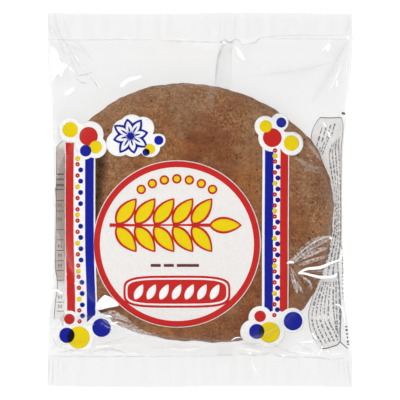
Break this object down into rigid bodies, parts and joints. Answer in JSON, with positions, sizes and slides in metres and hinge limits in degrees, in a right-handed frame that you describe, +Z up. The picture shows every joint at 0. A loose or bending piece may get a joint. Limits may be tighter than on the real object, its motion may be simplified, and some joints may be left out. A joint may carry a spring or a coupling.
{
  "type": "spice bun in a sealed clear pack",
  "caption": "Round flat spice bun sealed in a clear printed flow-wrap pack, with crimped end seals and a back seam, lying on its back.",
  "frame": {"origin": "middle of the pack's outline, on the surface it lies on", "axes": "+Y along the pack towards its head seal, +X to the right of the printed front, +Z up out of the printed front"},
  "size_m": [0.1526, 0.187, 0.0255],
  "materials": {
    "clear_film": "clear glossy film",
    "bun_crust": "baked brown crust, dull, with paler and darker patches",
    "film_print": "opaque ink under glossy film",
    "label_print": "thin milky white ink on clear film"
  },
  "bodies": {
    "root": {"sealed_bag": "clear_film"}
  },
  "joints": []
}
